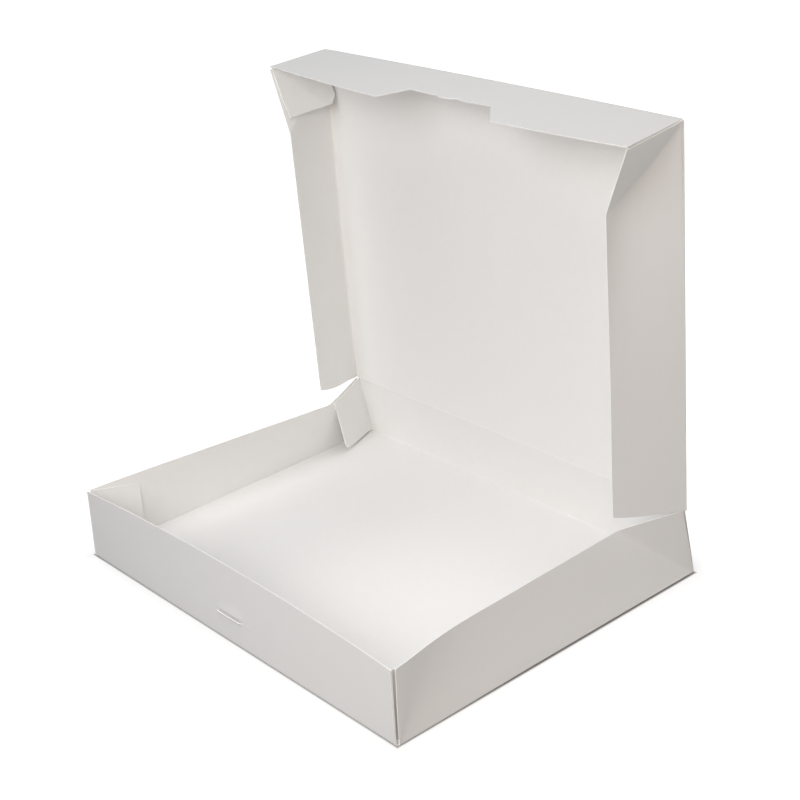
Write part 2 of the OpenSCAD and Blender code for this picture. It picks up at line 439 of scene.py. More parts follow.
def half_moon(x, height):
    """The low bump over the slit."""
    side, up = (x - BUMP_X) / BUMP_HALF_W, (height - SLIT_H - BUMP_UP) / BUMP_HALF_H
    return BUMP_OUT * max(0.0, 1 - side ** 2 - up ** 2)


def streak(x, height):
    """A faint ridge where the creasing rule ran on past the slit."""
    return STREAK_OUT if STREAK_FROM < x < STREAK_TO and height == SLIT_H else 0.0


def front_wall_sheets():
    low, high = [], []
    for x in WALL_XS:
        foot, top = on_bottom(x, -HALF_D), front_top(x)
        loose = ease((END_W - abs(x)) / HELD_RUN)
        column = wall_column(foot, top, on_bottom(x, FOLD - HALF_D), FRONT, LOW_HEIGHTS, loose)
        for i, height in enumerate(LOW_HEIGHTS):
            out = streak(x, height) + in_slit(x) * along(LOW_LIP, height)
            column[FOLD_POINTS + i] += FRONT * out
        low.append(column)
        column = wall_column(foot, top, foot, FRONT, HIGH_HEIGHTS, loose)[FOLD_POINTS:]
        for i, height in enumerate(HIGH_HEIGHTS):
            out = in_slit(x) * along(HIGH_LIP, height) + half_moon(x, height)
            column[i] += FRONT * (out + streak(x, height))
        tucked = column[0] - Vector((0, 0, LIP_TUCK * in_slit(x)))
        high.append([tucked] + column)
    return [(low, FRONT, FOLD_ROWS), (high, FRONT, ())]


print("rows below and above the slit:", len(LOW_HEIGHTS), len(HIGH_HEIGHTS))

# %% [markdown]
# ## The rear wall
# The rear wall leans forward, pulled by the lid above it. It stops just under the hinge crease,
# where a separate strip takes over, because that strip has to bend when the lid turns.

# %% Rear wall up to the hinge crease
REAR_SLOPE = math.tan(math.radians(8.75))
REAR_SPREAD = 0.0035  # how much wider its right half is at the top
HINGE_Y, HINGE_Z = (v / MM for v in frame["joints"][0]["pos_m"][1:])
CREASE_HALF = 1.0  # half the height of the hinge's strip
REAR_HEIGHTS = steps(3, WALL_H, 6)
REAR = Vector((0, 1, 0))


def rear_at(x, z):
    spread = 1 + REAR_SPREAD * z / WALL_H if x > 0 else 1.0
    return Vector((x * spread, HALF_D - z * REAR_SLOPE, z))


def rear_wall_sheet():
    columns = []
    for x in WALL_XS:
        foot, inner = on_bottom(x, HALF_D), on_bottom(x, HALF_D - FOLD)
        top = rear_at(x, HINGE_Z - CREASE_HALF)
        columns.append(wall_column(foot, top, inner, REAR, REAR_HEIGHTS, loose=0.0))
    return [(columns, REAR, FOLD_ROWS)]


print("hinge at", round(HINGE_Y, 1), round(HINGE_Z, 1))

# %% [markdown]
# ## The side walls and their gussets
# A side wall is one flat strip in the blank, with a diagonal crease at each end. When the end
# walls stand up, the corner triangle between crease and corner, the gusset, is pulled inwards and
# takes the wall's top edge with it. So the wall is a fan of straight lines at each end and a
# twisted panel between them. The top edge turns at the crease, and that turn is rounded a little.

# %% Side wall as a fan, a twisted panel and a fan
FRONT_LEANS = {1: math.radians(12), -1: math.radians(5.5)}
REAR_LEANS = {1: math.radians(22.5), -1: math.radians(21)}
SIDE_HEIGHTS = steps(2.5, WALL_H, 4.5)
# Shares of fan and panel, then of panel and fan, that the rounded turns take up.
SOFT_FRONT, SOFT_REAR = (0.45, 0.17), (0.02, 0.06)
FAN_STEP, PANEL_STEP = 0.2, 0.04
HELD_LINES = 5  # rulings that a corner holds flat
SEAM_TUCK, TUCK_FADE, TUCK_RISE = 0.6, 0.4, 12  # its front end is pressed in


def crease_top(lean, y):
    return Vector((HALF_W - WALL_H * math.sin(lean), y, WALL_H * math.cos(lean)))


def ruling(foot_y, top):
    """A straight line up a side wall: the place of its foot along Y, and its top point."""
    return Vector((foot_y, *top))


def side_wall_rulings(side):
    """Rulings of the wall from front to rear, as for a wall on the right."""
    front_crease = ruling(GAP - HALF_D, crease_top(FRONT_LEANS[side], GUSSET - HALF_D))
    rear_crease = ruling(HALF_D - GAP, crease_top(REAR_LEANS[side], HALF_D - GUSSET))
    front_corner = front_top(END_W)
    front_corner.x = HALF_W
    front_end = ruling(FRONT_GAP / 2 - HALF_D, front_corner)
    rear_end = ruling(HALF_D - GAP / 2, rear_at(HALF_W, WALL_H))
    front_end = mix(front_end, front_crease, FRONT_GAP / GUSSET)
    rear_end = mix(rear_end, rear_crease, GAP / GUSSET)
    into_front = mix(front_crease, front_end, SOFT_FRONT[0])
    out_of_front = mix(front_crease, rear_crease, SOFT_FRONT[1])
    into_rear = mix(rear_crease, front_crease, SOFT_REAR[0])
    out_of_rear = mix(rear_crease, rear_end, SOFT_REAR[1])
    lines = [mix(front_end, into_front, share) for share in steps(0, 1, FAN_STEP)][:-1]
    lines += rounded(into_front, front_crease, out_of_front, 2 * FOLD_STEPS)
    lines += [mix(out_of_front, into_rear, share) for share in steps(0, 1, PANEL_STEP)][1:-1]
    lines += rounded(into_rear, rear_crease, out_of_rear)
    lines += [mix(out_of_rear, rear_end, share) for share in steps(0, 1, FAN_STEP)][1:]
    return lines


def side_wall_sheet(side):
    outward = Vector((side, 0, 0))
    columns = []
    lines = side_wall_rulings(side)
    for i, line in enumerate(lines):
        y, top = line[0], Vector((side * line[1], line[2], line[3]))
        foot = on_bottom(side * HALF_W, y)
        inner = on_bottom(side * (HALF_W - FOLD), y)
        loose = ease(min(i, len(lines) - 1 - i) / HELD_LINES)
        column = wall_column(foot, top, inner, outward, SIDE_HEIGHTS, loose)
        tucked = max(0.0, SEAM_TUCK - TUCK_FADE * i)
        for row, height in enumerate(SIDE_HEIGHTS):
            column[FOLD_POINTS + row] -= outward * tucked * ease(height / TUCK_RISE)
        columns.append(column)
    return [(columns, outward, FOLD_ROWS)]


SIDE_FEET = [line[0] for line in side_wall_rulings(1)]
print("rulings of a side wall:", len(SIDE_FEET))

# %% [markdown]
# ## The glue flaps
# Each end wall continues round its corner as a glue flap, which lies on the inside of the gusset
# and holds the corner. The gusset is a triangle and the flap is nearly a rectangle, so the flap's
# lower corner stands clear of the wall behind it. Its edges taper and its corner is rounded, so
# that it doesn't catch when the box is set up.

# %% Glue flap as a grid that narrows towards its rounded end
FLAP_L, FLAP_R = 46.0, 5.0
FLAP_TAPER = math.tan(math.radians(9))
FLAP_FOOT = FOLD * 0.7  # where the flap starts above the tray's bottom
FLAP_CLEAR, CLEAR_RUN = 1.6, 6  # its lower edge rises clear of the side wall's fold
UPPER_ROUND = 0.6  # the upper corner is rounded less than the lower one
FRONT_SINK, REAR_SINK = 2.0, 0.8  # a flap's root is pulled in behind the seam
SINK_RUN, SINK_POWER = 7, 0.6
ROUND_START = FLAP_L - FLAP_R
FLAP_REACH = ([1.6, 2.3, 3.2, 4.4, 6] + steps(8, ROUND_START, 4) +
              [ROUND_START + v for v in (1.2, 2.3, 3.2, 4, 4.5, 4.85, FLAP_R)])


def flap_span(s, low, high, upper_taper):
    """Lowest and highest height of the flap at a distance s from its fold."""
    bottom = low + s * FLAP_TAPER
    top = high - s * upper_taper
    past = s - ROUND_START
    if past > 0:
        drop = FLAP_R - math.sqrt(max(0.0, FLAP_R * FLAP_R - past * past))
        bottom += drop
        if upper_taper > 0:
            top -= drop * UPPER_ROUND
    return bottom, top


def sunk(s):
    """Share of the sink at a distance from the fold: most close to it, none at SINK_RUN."""
    return math.sin(math.pi * min(1.0, s / SINK_RUN) ** SINK_POWER)


def flap_axes(fold, into, side):
    """Across a flap from its fold, and off the flap towards the middle of the box."""
    across = (into - fold * into.dot(fold)).normalized()
    inward = fold.cross(across)
    return across, -inward if inward.x * side > 0 else inward


def glue_flap_sheet(foot, top, toward, side, heights, upper_taper, root_sink):
    """foot and top are the corner fold's ends, toward is the top of the gusset's crease."""
    up = (top - foot).normalized()
    across, inward = flap_axes(up, toward - foot, side)
    in_wall = Vector((-side, 0, 0))
    full = (top - foot).length
    ends = [FLAP_FOOT] + [full * h / WALL_H for h in heights]
    columns = [[] for _ in range(FOLD_POINTS + len(FLAP_REACH))]
    for height in ends:
        corner = foot + up * height
        share = (height - ends[0]) / (ends[-1] - ends[0])
        root = corner + across * FOLD + inward * root_sink * sunk(FOLD)
        for i, point in enumerate(rounded(corner + in_wall * FOLD, corner, root)):
            columns[i].append(point)
        for i, s in enumerate(FLAP_REACH):
            low, high = flap_span(s, ends[0], ends[-1], upper_taper)
            low += FLAP_CLEAR * ease(s / CLEAR_RUN)
            point = foot + up * mix(low, high, share) + across * s
            columns[FOLD_POINTS + i].append(point + inward * root_sink * sunk(s))
    return [(columns, (side, 0, 0), ())]


def tray_flap_sheets(side):
    front_heights = LOW_HEIGHTS + HIGH_HEIGHTS[1:]
    x = side * END_W
    front_turn = crease_top(FRONT_LEANS[side], GUSSET - HALF_D)
    rear_turn = crease_top(REAR_LEANS[side], HALF_D - GUSSET)
    for turn in (front_turn, rear_turn):
        turn.x = side * (turn.x - BOARD)
    front = on_bottom(x, -HALF_D), front_top(x), front_turn
    rear = on_bottom(x, HALF_D), rear_at(x, HINGE_Z - CREASE_HALF), rear_turn
    sheets = glue_flap_sheet(*front, side, front_heights, FLAP_TAPER, FRONT_SINK)
    sheets += glue_flap_sheet(*rear, side, REAR_HEIGHTS, 0, REAR_SINK)
    return sheets


print("columns of a glue flap:", FOLD_POINTS + len(FLAP_REACH))

# %% The whole tray as one piece of board
def bottom_sheet():
    xs = [FOLD - HALF_W] + WALL_XS + [HALF_W - FOLD]
    ys = [FOLD - HALF_D] + SIDE_FEET + [HALF_D - FOLD]
    return [([[on_bottom(x, y) for y in ys] for x in xs], (0, 0, -1), ())]


tray_sheets = bottom_sheet() + front_wall_sheets() + rear_wall_sheet()
for side in (1, -1):
    tray_sheets += side_wall_sheet(side) + tray_flap_sheets(side)
tray_board = board_piece("tray_board", tray_sheets)

# %% [markdown]
# ## The lid's panel and front flap
# The lid stands almost upright and is described from its hinge: across, behind the panel, and up
# the panel. Its front flap is the same sheet, folded over at the far edge, so panel, fold and
# flap make one grid. The flap droops, most at mid-width, and has a wide shallow notch in its free
# edge. The notch is made by shortening the columns there.

# %% Points on the lid
LID_HALF_W, LID_D, FLAP_D = 192.2, 293.43, 57.06
LID_LEAN = math.radians(0.8)
FLAP_LEANS = [(-190, 2.6), (-150, 5.1), (-106, 7.5), (-60, 9.4),
              (0, 9.6), (64, 9.4), (135, 7.7), (194, 5.1)]
LID_SAG = 1.3  # how far the lid's front fold hangs down at its ends
SAG_MID = 0.2  # share of the sag at mid-width
RIGHT_SPREAD = (-0.001, 0.012)  # how much wider the right half is, at the hinge and in front
FLAP_SPREAD = 0.01  # the same for the front flap's free edge
FLAP_WAVER, FLAP_FREE = 0.2, 2  # it wavers freely from half its depth on
UP = Vector((0, 0, 1))


def on_lid(x, behind, up):
    """The lid widens to the front on its right side, and its front fold sags at both ends."""
    if x > 0:
        x *= 1 + mix(*RIGHT_SPREAD, up / LID_D)
    up *= 1 - LID_SAG / LID_D * mix(SAG_MID, 1, (x / LID_HALF_W) ** 2)
    return Vector((x, HINGE_Y + behind * math.cos(LID_LEAN) + up * math.sin(LID_LEAN),
                   HINGE_Z - behind * math.sin(LID_LEAN) + up * math.cos(LID_LEAN)))


def on_front_flap(x, depth):
    lean = math.radians(along(FLAP_LEANS, x))
    spread = 1 + FLAP_SPREAD * depth / FLAP_D if x > 0 else 1.0
    return on_lid(x * spread, BOARD / 2 - depth * math.cos(lean), LID_D - depth * math.sin(lean))


def flap_waver(point, share):
    """How far the front flap wavers at a share of its depth."""
    return UP * waver(point, FLAP_WAVER) * ease(share * FLAP_FREE)


print("the lid's right corner at", [round(v, 1) for v in on_lid(LID_HALF_W, 0, LID_D)])

# %% [markdown]
# ## The lid's side folds
# The side flaps turn on the lid's long edges. The bend itself stays with the lid panel, because
# the flap beyond it is a piece of its own: the board there is springy, leans in while the lid is
# open, and stands square once the lid is shut around the tray. The right fold is a crisp edge. The
# left one was never pressed flat, so it bends over several millimetres, except near its ends. One
# curve serves both: it leaves the panel at its own radius from the corner and meets the flap at
# the same distance.

# %% Points on and near a side flap
SIDE_LEANS = {1: [(0, 26.6), (60, 25.6), (120, 24.7), (235, 24.7)], -1: [(0, 18.7), (236, 16.1)]}
FOLD_EDGE = BOARD + FOLD  # the flat grids stop this far from the corner
FLAP_REAR = -0.9  # where a side flap starts, up the panel from the hinge
PANEL_UPS = steps(CREASE_HALF, LID_D - FOLD, 12)
FOLD_UPS = [FLAP_REAR, 0.1] + PANEL_UPS
TURN_STEPS = 5
SOFT_FOLD = 6.0  # radius of the left fold where it is softest
SOFTENS, TIGHTENS = (8, 30), (200, 80)  # where each starts, and over how much


def on_side_flap(side, depth, up, across=0.0):
    """A point at a depth down the flap, and across towards the middle of the lid."""
    lean = math.radians(along(SIDE_LEANS[side], up))
    x = side * (LID_HALF_W - across - depth * math.sin(lean))
    return on_lid(x, BOARD / 2 - depth * math.cos(lean), up)


def fold_radius(side, up):
    if side > 0:
        return FOLD
    soft = ease((up - SOFTENS[0]) / SOFTENS[1]) * (1 - ease((up - TIGHTENS[0]) / TIGHTENS[1]))
    return mix(FOLD, SOFT_FOLD, soft)


def rounded_off(reach, radius):
    return radius * (1 - math.sqrt(reach / radius)) ** 2 if reach < radius else 0.0


def near_fold(side, across, up):
    """A point of the panel at a distance across from its edge."""
    return on_side_flap(side, rounded_off(across, fold_radius(side, up)), up, across)


def side_fold_sheet(side):
    columns = []
    for up in FOLD_UPS:
        radius = fold_radius(side, up)
        start = max(0.0, 1 - math.sqrt(FOLD_EDGE / radius))
        column = [near_fold(side, FOLD_EDGE, up)]
        for i in range(TURN_STEPS + 1):
            t = mix(start, 1 - start, i / TURN_STEPS)
            column.append(on_side_flap(side, radius * t * t, up, radius * (1 - t) ** 2))
        column.append(on_side_flap(side, FOLD_EDGE, up, rounded_off(FOLD_EDGE, radius)))
        columns.append(column)
    return [(columns, (side, 1, 0), range(2, TURN_STEPS + 1))]


print("left fold's radius half-way up the lid:", fold_radius(-1, LID_D / 2))

# %% [markdown]
# ## The notch's ragged edge
# The lock tongue hangs in the middle of the notch. It has been bent back under the flap, and the
# board tore a little at the bend, so the notch's deep edge has a small ragged place there. A list
# of stations along the edge gives its depth, and the grid's columns stand on those stations.

# %% Depth of the front flap along its width
NOTCH = [(-60, FLAP_D), (-43, 36.6), (-30, 36.9), (-12, 37.3), (-9, 37.5), (-8.2, 39.2),
         (-6.5, 38.6), (-3, 38.4), (0, 38.8), (4, 38.2), (7, 36.4), (10, 36.0), (14, 37.6),
         (17, 37.9), (30, 37.4), (46, 37.0), (46.6, 39), (63.4, 55.5), (64, FLAP_D)]
SOFT_STEPS = [2.5, 3.5, 4.8, 6.5]  # where a soft fold needs points
LID_XS = sorted(set(
    steps(FOLD_EDGE - LID_HALF_W, -62, 9) + [step - LID_HALF_W for step in SOFT_STEPS] +
    [x for x, _ in NOTCH] + steps(-40, 44, 4) + [50, 55, 60] +
    steps(66, LID_HALF_W - FOLD_EDGE, 9)))
FLAP_SHARES = [0.05, 0.12, 0.2, 0.3, 0.4, 0.5, 0.6, 0.7, 0.8, 0.88, 0.94, 0.98, 1.0]


def lid_panel_sheet():
    columns = []
    for x in LID_XS:
        side = 1 if x > 0 else -1
        column = [near_fold(side, LID_HALF_W - abs(x), up) for up in PANEL_UPS]
        column += rounded(column[-1], on_lid(x, BOARD / 2, LID_D), on_front_flap(x, FOLD))[1:]
        depth = along(NOTCH, x)
        for share in FLAP_SHARES:
            point = on_front_flap(x, mix(FOLD, depth, share))
            column.append(point + flap_waver(point, share))
        columns.append(column)
    fold_rows = range(len(PANEL_UPS), len(PANEL_UPS) + FOLD_STEPS - 1)
    return [(columns, (0, 0.7, 0.7), fold_rows)]


print("columns across the lid:", len(LID_XS))

# %% [markdown]
# ## The tongue, folded back under the flap
# The tongue is a small tab on the notch's deep edge. It is drawn from the edge round a tight bend
# and back under the flap, and it narrows towards its end.

# %% Lock tongue
TONGUE_X, TONGUE_HALF, TONGUE_END_HALF, TONGUE_L = 4, 11.0, 8.5, 14.0
TONGUE_FOLD = math.radians(26)
TONGUE_LAP = 0.8  # how far its root lies inside the notch's edge
BEND_OUT, BEND_DOWN, BEND_GAP = 1.2, 0.6, 1.3  # the bend, and the gap between its two ends
OVERLAP = 0.02  # the root's start lies just above the flap's outer face


def tongue_sheet():
    columns = []
    for side in steps(-1, 1, 0.25):
        x = TONGUE_X + side * TONGUE_HALF
        lean = math.radians(along(FLAP_LEANS, x))
        root = on_front_flap(x, along(NOTCH, x) - TONGUE_LAP)
        outward = Vector((0, -math.cos(lean), -math.sin(lean)))
        below = Vector((0, math.sin(lean), -math.cos(lean)))
        back = math.cos(TONGUE_FOLD) * -outward + math.sin(TONGUE_FOLD) * below
        bend = root + outward * BEND_OUT + below * BEND_DOWN
        column = rounded(root - below * OVERLAP, bend, root + below * BEND_GAP)[:-1]
        for run in steps(0, TONGUE_L, 2):
            narrow = TONGUE_X + side * mix(TONGUE_HALF, TONGUE_END_HALF, run / TONGUE_L)
            point = root + below * BEND_GAP + back * run
            column.append(Vector((narrow, point.y, point.z)))
        columns.append(column)
    return [(columns, (0, -1, -1), ())]


print("the tongue is", 2 * TONGUE_HALF, "wide and", TONGUE_L, "long")

# %% [markdown]
# ## The lid's gussets
# At each front corner of the lid a diagonal crease runs from the corner to the side flap's free
# edge. The triangle beyond the crease is glued to the flap that comes round from the front flap.
# Three points fix it: the lid's corner, the end of the crease, and the front flap's free corner.

# %% Corner points of a gusset
GUSSET_UP = {1: 235.6, -1: 236.3}


def gusset_points(side):
    corner = on_lid(side * LID_HALF_W, BOARD / 2, LID_D)
    crease_end = on_side_flap(side, FLAP_D, GUSSET_UP[side])
    front_corner = on_front_flap(side * LID_HALF_W, FLAP_D)
    return corner, crease_end, front_corner


for side in (1, -1):
    _, crease_end, front_corner = gusset_points(side)
    print("gusset", side, "free edge", round((crease_end - front_corner).length, 1),
          "in the flat sheet", round(LID_D - GUSSET_UP[side], 1))


# %% The end of the front flap, bent towards the gusset
def flap_directions(side):
    """Along the glue flap's fold, across the flap, and off it towards the middle of the lid."""
    corner, crease_end, front_corner = gusset_points(side)
    edge = (front_corner - corner).normalized()
    return edge, *flap_axes(edge, crease_end - corner, side)


def front_end_sheet(side):
    _, across, _ = flap_directions(side)
    x = side * (LID_HALF_W - BOARD)
    columns = [[] for _ in range(FOLD_POINTS)]
    for share in FLAP_SHARES:
        depth = mix(FOLD, FLAP_D, share)
        before = on_front_flap(x - side * FOLD, depth)
        before += flap_waver(before, share)
        turn = on_front_flap(x, depth)
        for i, point in enumerate(rounded(before, turn, turn + across * FOLD)):
            columns[i].append(point)
    return [(columns, (side * 0.5, 0, 1), ())]


lid_sheets = lid_panel_sheet() + tongue_sheet()
for side in (1, -1):
    lid_sheets += side_fold_sheet(side) + front_end_sheet(side)
lid_board = board_piece("lid_board", lid_sheets)

# %% [markdown]
# ## The side flaps
# A side flap is one grid that runs from the curved rear edge to the diagonal crease, over the
# crease and on through the gusset. The glue flap inside holds the board on both sides of the
# crease, so the right flap dips below the gusset's plane for a while and only then turns. That
# dent is deepest half-way down the flap, dies out along it, and darkens the flap at the crease.

# %% Side flap with its gusset
REAR_RISE, REAR_POWER = {1: 4.2, -1: 8.4}, 2.85  # the rear edge's curve
REAR_STEP, STEP_FROM, STEP_RUN = 1.5, 4, 11  # a small step in it, close to the fold
DENT = {1: 13.5, -1: 0.0}
GROOVE = {1: 2.4, -1: 0.0}  # the narrow groove of the crease itself
DENT_RUN, GROOVE_RUN = (15, 50), (3, 12)  # distances over which each grows and dies out
SIDE_WAVER = 0.6
SEAM_LIMIT = 0.3  # the most that a seam takes of the gusset's width
FLAP_DEPTHS = [FOLD_EDGE] + SOFT_STEPS + [9, 13, 19, 25, 31, 37, 43, 48, 52, 55, FLAP_D]
FLAP_RUN = steps(0, 0.84, 0.06) + steps(0.86, 0.992, 0.012)
GUSSET_RUN = [0.04, 0.14, 0.24, 0.36, 0.5, 0.64, 0.78, 0.9, 1.0]


def hollow(depth, run, distance):
    grows, dies = run
    return depth * (1 - math.exp(-distance / grows)) * math.exp(-distance / dies)


def dent(side, share, distance):
    """Depth of the dent at a share of the flap's depth and a distance from the crease."""
    wide = hollow(DENT[side], DENT_RUN, distance)
    narrow = hollow(GROOVE[side], GROOVE_RUN, distance)
    return 4 * share * (1 - share) * (wide + narrow)


def side_flap_sheet(side):
    corner, crease_end, front_corner = gusset_points(side)
    rows = []
    for depth in FLAP_DEPTHS:
        share = depth / FLAP_D
        rear = FLAP_REAR + REAR_STEP * ease((depth - STEP_FROM) / STEP_RUN)
        rear += REAR_RISE[side] * share ** REAR_POWER
        crease_up = mix(LID_D, GUSSET_UP[side], share)
        row = []
        for run in FLAP_RUN:
            up = mix(rear, crease_up, run)
            point = on_side_flap(side, depth, up, rounded_off(depth, fold_radius(side, up)))
            bent = waver(point, SIDE_WAVER) * ease(share) * (1 - run)
            bent -= dent(side, share, crease_up - up)
            row.append(point + Vector((side, 0, 0)) * bent)
        crease = mix(corner, crease_end, share)
        edge = mix(corner, front_corner, share)
        seam = min(mix(GAP / 2, GAP, share), SEAM_LIMIT * (edge - crease).length)
        end = edge + (crease - edge).normalized() * seam
        after = mix(crease, end, GUSSET_RUN[0])
        row += rounded(row.pop(), crease, after)
        row += [mix(crease, end, run) for run in GUSSET_RUN[1:]]
        rows.append(row)
    columns = [list(column) for column in zip(*rows)]
    return [(columns, (side, 0, 0), ())]


print("dent 20 mm from the right crease:", round(dent(1, 0.5, 20), 1))

# %% The glue flap inside a side flap
LID_FLAP_L, LID_FLAP_CUT, CUT_SLOPE = 44.0, 6.5, 0.85  # its length, and its cut corner
ROOT_INSET, PANEL_INSET, INSET_RUN = 2.0, 5.0, 5  # from the lid's panel, at its root and beyond
FREE_INSET, FREE_TAPER = 1.5, 0.03  # from the front flap's free edge
GLUE, END_RISE, RISE_RUN = 0.05, 1.2, 18  # off the gusset, and how its end springs up
LID_FLAP_ROWS = 12
CUT_START = LID_FLAP_L - LID_FLAP_CUT
LID_FLAP_REACH = ([FOLD, 2, 3.5, 5] + steps(7, CUT_START, 4) +
                  steps(CUT_START, LID_FLAP_L, 1.3)[1:])


def lid_flap_sheet(side):
    edge, across, inward = flap_directions(side)
    start = on_front_flap(side * (LID_HALF_W - BOARD), 0)
    columns = []
    for s in LID_FLAP_REACH:
        low = mix(ROOT_INSET, PANEL_INSET, ease(s / INSET_RUN))
        low += CUT_SLOPE * max(0.0, s - LID_FLAP_L + LID_FLAP_CUT)
        high = FLAP_D - FREE_INSET - FREE_TAPER * s
        raised = inward * (GLUE + END_RISE * ease((s - LID_FLAP_L + RISE_RUN) / RISE_RUN))
        columns.append([start + edge * mix(low, high, i / LID_FLAP_ROWS) + across * s + raised
                        for i in range(LID_FLAP_ROWS + 1)])
    return [(columns, (side, 0, 0), ())]


side_flaps = {}
for side, name in ((1, "lid_side_flap_right"), (-1, "lid_side_flap_left")):
    side_flaps[side] = board_piece(name, side_flap_sheet(side) + lid_flap_sheet(side))

# %% [markdown]
# ## The hinge crease
# Rear wall and lid are one sheet, so a strip of board two millimetres high joins them. It could
# belong to either side, but then a gap would open when the lid turns. Here its lower edge lies on
# the rear wall's top, its upper edge on the lid as it stands, and the rest turns smoothly between
# them.

# %% Strip of board that bends at the hinge
HINGE_STEPS = 8


def hinge_sheet():
    columns = []
    for x in [-HALF_W] + WALL_XS + [HALF_W]:
        low = rear_at(x, HINGE_Z - CREASE_HALF)
        high = on_lid(x, BOARD / 2, CREASE_HALF)
        turn = (rear_at(x, HINGE_Z) + on_lid(x, BOARD / 2, 0)) / 2
        columns.append(rounded(low, turn, high, HINGE_STEPS))
    return [(columns, REAR, range(1, HINGE_STEPS))]


hinge_strip = board_piece("hinge_crease", hinge_sheet())

# %% [markdown]
# ## Crease beads
# A creasing rule presses a groove into the outside of the board and raises a low bead inside the
# fold. The beads follow the fold lines, so a Geometry Nodes tree makes them all: it turns loose
# edges into curves, cuts them into even steps, moves them by a trace of noise and sweeps a small
# circle along them. One mesh of fold lines for each body is all that the script has to draw.

# %% A node tree that sweeps a bead along fold lines
BEAD_VALUES = {"Bead Radius": 0.42 * MM, "Step Length": 6 * MM, "Wander": 0.15 * MM, "Seed": 4.0}


def bead_tree():
    tree = bpy.data.node_groups.new("crease_bead", "GeometryNodeTree")
    face = tree.interface
    face.new_socket("Fold Lines", in_out="INPUT", socket_type="NodeSocketGeometry")
    for label in BEAD_VALUES:
        face.new_socket(label, in_out="INPUT", socket_type="NodeSocketFloat")
    face.new_socket("Finish", in_out="INPUT", socket_type="NodeSocketMaterial")
    face.new_socket("Beads", in_out="OUTPUT", socket_type="NodeSocketGeometry")
    start = tree.nodes.new("NodeGroupInput")
    curve = tree.nodes.new("GeometryNodeMeshToCurve")
    even = tree.nodes.new("GeometryNodeResampleCurve")
    even.mode = "LENGTH"
    trace = add_node(tree, "ShaderNodeTexNoise", Scale=60.0)
    trace.noise_dimensions = "4D"
    centre = add_math(tree, "SUBTRACT", (0.5, 0.5, 0.5), "ShaderNodeVectorMath")
    wander = add_math(tree, "SCALE", kind="ShaderNodeVectorMath")
    shift = tree.nodes.new("GeometryNodeSetPosition")
    ring = add_node(tree, "GeometryNodeCurvePrimitiveCircle", Resolution=8)
    sweep = add_node(tree, "GeometryNodeCurveToMesh", Fill_Caps=True)
    real = tree.nodes.new("GeometryNodeRealizeInstances")
    finish = tree.nodes.new("GeometryNodeSetMaterial")
    end = tree.nodes.new("NodeGroupOutput")
    chain = (start, curve, even, shift, sweep, real, finish, end)
    link_all(tree, [(first, 0, second, 0) for first, second in zip(chain, chain[1:])])
    link_all(tree, (
        (start, "Step Length", even, "Length"),
        (start, "Seed", trace, "W"),
        (trace, "Color", centre, 0),
        (centre, "Vector", wander, 0),
        (start, "Wander", wander, "Scale"),
        (wander, "Vector", shift, "Offset"),
        (start, "Bead Radius", ring, "Radius"),
        (ring, "Curve", sweep, "Profile Curve"),
        (start, "Finish", finish, "Material"),
    ))
    return tree


BEAD_TREE = bead_tree()
print("bead tree with", len(BEAD_TREE.nodes), "nodes")

# %% Beads from fold lines
BEAD_SHARP = math.radians(60)
BEAD_RISE = 0.1  # how far a bead's middle lies above the bottom panel
BEAD_END, LID_BEAD_END = 6, 5  # a bead stops this far short of a corner
LINE_STEP = 12


def bead_piece(name, lines):
    mesh = bpy.data.meshes.new(name)
    points, edges = [], []
    for line in lines:
        edges += [(len(points) + i, len(points) + i + 1) for i in range(len(line) - 1)]
        points += [point * MM for point in line]
    mesh.from_pydata(points, edges, [])
    piece = add_object(name, mesh)
    beads = piece.modifiers.new("beads", "NODES")
    beads.node_group = BEAD_TREE
    values = {**BEAD_VALUES, "Finish": INSIDE}
    for socket in BEAD_TREE.interface.items_tree:
        if socket.in_out == "INPUT" and socket.name in values:
            beads[socket.identifier] = values[socket.name]
    finish_mesh(piece, BEAD_SHARP)
    print(name, "has", len(lines), "folds and", len(piece.data.polygons), "faces")
    return piece


def above_bottom(x, y):
    return Vector((x, y, lift(x, y) + BOARD + BEAD_RISE))


def tray_fold_lines():
    x, y = HALF_W - BOARD, HALF_D - BOARD
    xs, ys = (steps(BEAD_END - end, end - BEAD_END, LINE_STEP) for end in (x, y))
    lines = []
    for sign in (-1, 1):
        lines.append([above_bottom(px, sign * y) for px in xs])
        lines.append([above_bottom(sign * x, py) for py in ys])
    return lines


def lid_fold_lines():
    edge = LID_HALF_W - LID_BEAD_END
    return [[on_lid(x, -BOARD / 2, LID_D - BOARD) for x in steps(-edge, edge, LINE_STEP)]]


tray_beads = bead_piece("tray_crease_beads", tray_fold_lines())
lid_beads = bead_piece("lid_crease_beads", lid_fold_lines())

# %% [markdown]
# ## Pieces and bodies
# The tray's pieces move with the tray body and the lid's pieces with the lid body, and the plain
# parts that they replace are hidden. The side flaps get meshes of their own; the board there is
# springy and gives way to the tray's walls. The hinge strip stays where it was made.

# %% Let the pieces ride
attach(tray_board, "tray")
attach(tray_beads, "tray")
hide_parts("tray")
for piece in (lid_board, lid_beads, *side_flaps.values()):
    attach(piece, "lid")
for piece in (lid_board, *side_flaps.values()):
    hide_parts("lid")
for side, piece in side_flaps.items():
    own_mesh(piece)
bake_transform(hinge_strip)
print("pieces ride on their bodies")

# %% [markdown]
# ## Floor and background
# The photograph has a white ground with a soft shadow. The floor is a pale matt surface that
# catches the shadow. A glow that only the camera sees brings it up to white. Near the box the glow
# is painted shade: it is left out at the edge of the tray's footprint, which paints a dark line
# under the walls, and it starts low and grows with distance, which paints a grey band round the box
# on top of the real shadow.
# The world behind the floor is white for the camera but much dimmer as a light.

